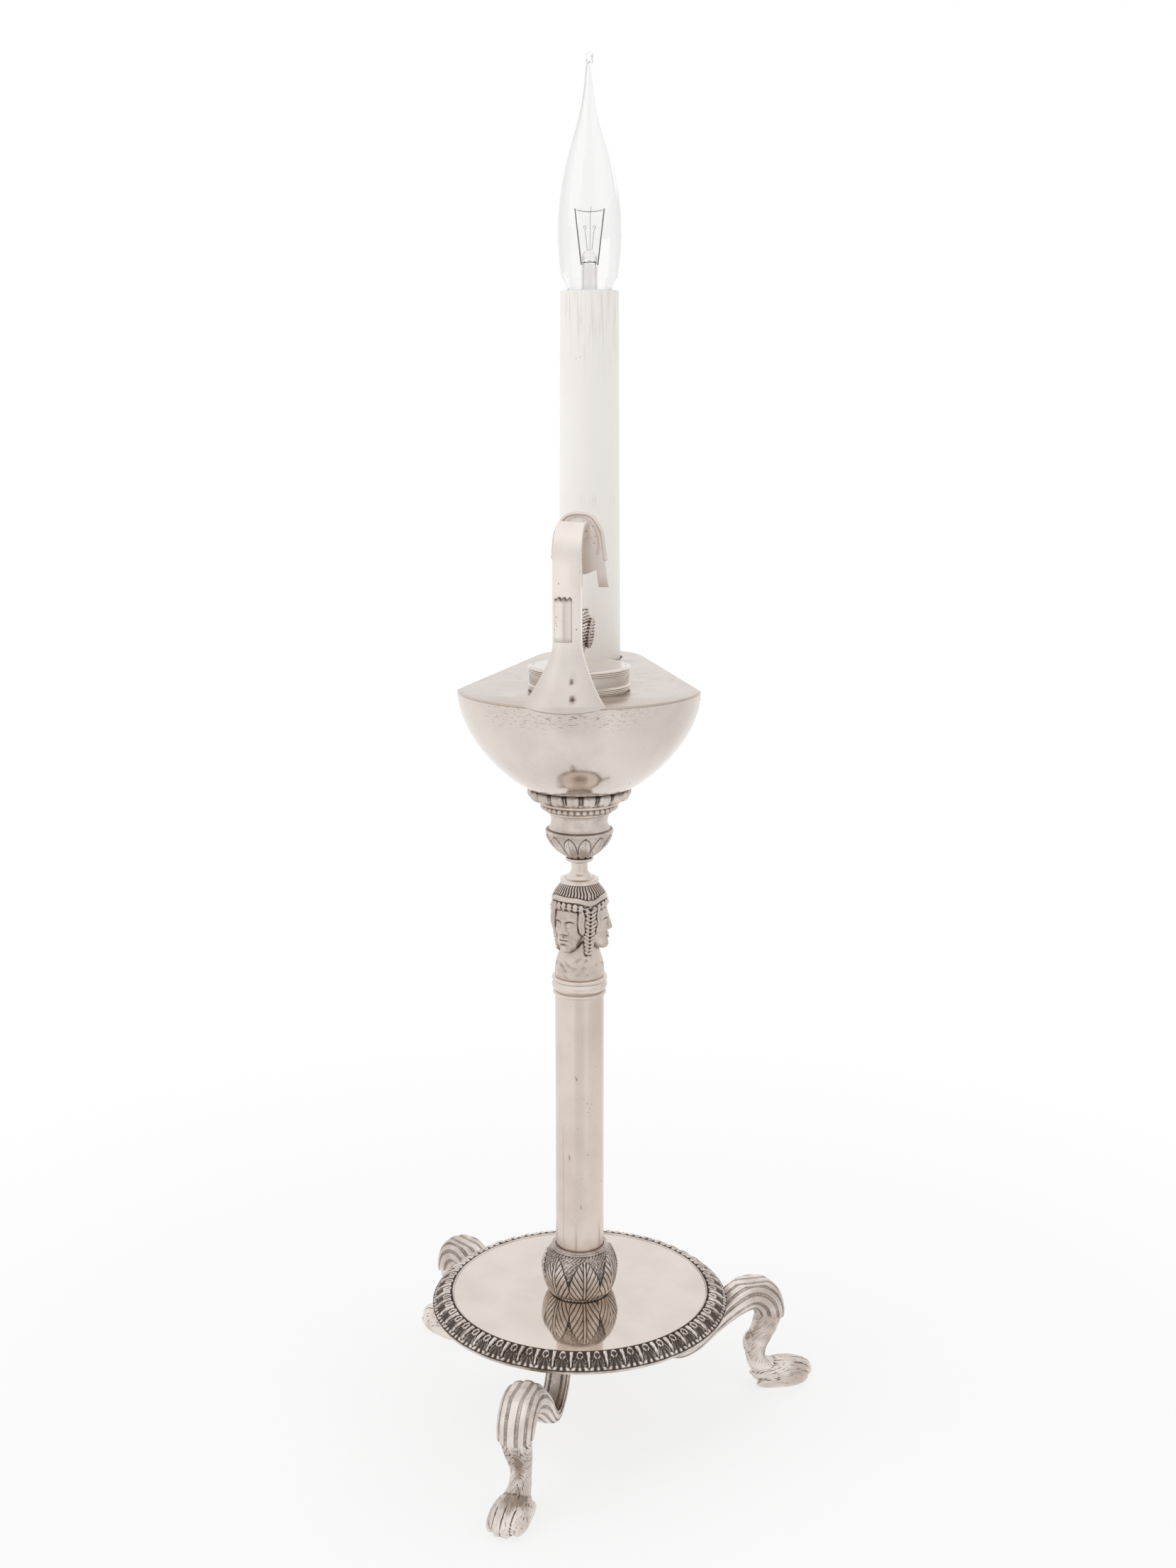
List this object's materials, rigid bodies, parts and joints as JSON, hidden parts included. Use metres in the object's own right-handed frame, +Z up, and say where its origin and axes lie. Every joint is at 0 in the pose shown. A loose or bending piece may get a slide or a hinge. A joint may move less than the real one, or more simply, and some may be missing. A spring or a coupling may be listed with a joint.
{
  "type": "table lamp",
  "caption": "Silver-plated table lamp shaped as an antique oil lamp: paw-footed stand, column with a faced bust, boat-shaped font with lid and handle, electric candle.",
  "frame": {"origin": "on the floor under the column axis, at the middle of the feet", "axes": "+Z up along the column; one leg points along -Y; the nozzle of the font points along +Y, turned 14 degrees towards -X"},
  "size_m": [0.239, 0.274, 0.7327],
  "materials": {
    "polished_silver": "silver plate on brass, polished, with fine pits and stains",
    "oxidised_silver": "silver plate on cast brass, dark in the hollows",
    "satin_silver": "frosted silver plate, pale and matt",
    "plate_brass": "dull plated brass",
    "fitting_brass": "turned brass",
    "steel": "bright steel",
    "porcelain": "white glaze",
    "cap_glass": "black vitreous",
    "clear_glass": "clear blown glass",
    "lead_cover": "brown sleeved two-core lead"
  },
  "bodies": {
    "lamp": {"top_disc": "polished_silver", "column_tube": "polished_silver", "column_collar": "polished_silver", "capital_spool": "polished_silver", "font_hull": "polished_silver", "font_deck": "polished_silver", "filler_collar": "polished_silver", "handle": "polished_silver", "handle_panel": "polished_silver", "handle_leaf": "polished_silver", "plate_border": "oxidised_silver", "front_leg": "oxidised_silver", "right_leg": "oxidised_silver", "left_leg": "oxidised_silver", "column_foot": "oxidised_silver", "herm_bust": "oxidised_silver", "leaf_cup": "oxidised_silver", "bead_ring": "oxidised_silver", "gadroon_ring": "oxidised_silver", "candle_tube": "satin_silver", "base_plate": "plate_brass", "tube_socket": "plate_brass", "tie_rod": "fitting_brass", "base_nut": "fitting_brass", "cord_bush": "fitting_brass", "font_stud": "fitting_brass", "font_nut": "fitting_brass", "holder_stem": "fitting_brass", "stem_nut": "fitting_brass", "lamp_holder": "fitting_brass", "base_washer": "steel", "leg_screws": "steel", "holder_contact": "steel", "holder_core": "porcelain", "lead_wires": "lead_cover"},
    "lid": {"lid": "polished_silver", "lid_finial": "oxidised_silver"},
    "bulb": {"bulb_contact": "steel", "bulb_insulator": "cap_glass", "bulb_cap": "fitting_brass", "bulb_glass": "clear_glass", "bulb_stem": "clear_glass", "filament_supports": "steel", "filament": "steel"}
  },
  "joints": [
    {"name": "lid_lift", "type": "slide", "parent": "lamp", "child": "lid", "axis": [0, 0, 1], "range_m": [0, 0.035]},
    {"name": "bulb_unscrew", "type": "slide", "parent": "lamp", "child": "bulb", "axis": [0, 0, 1], "range_m": [0, 0.018]}
  ]
}
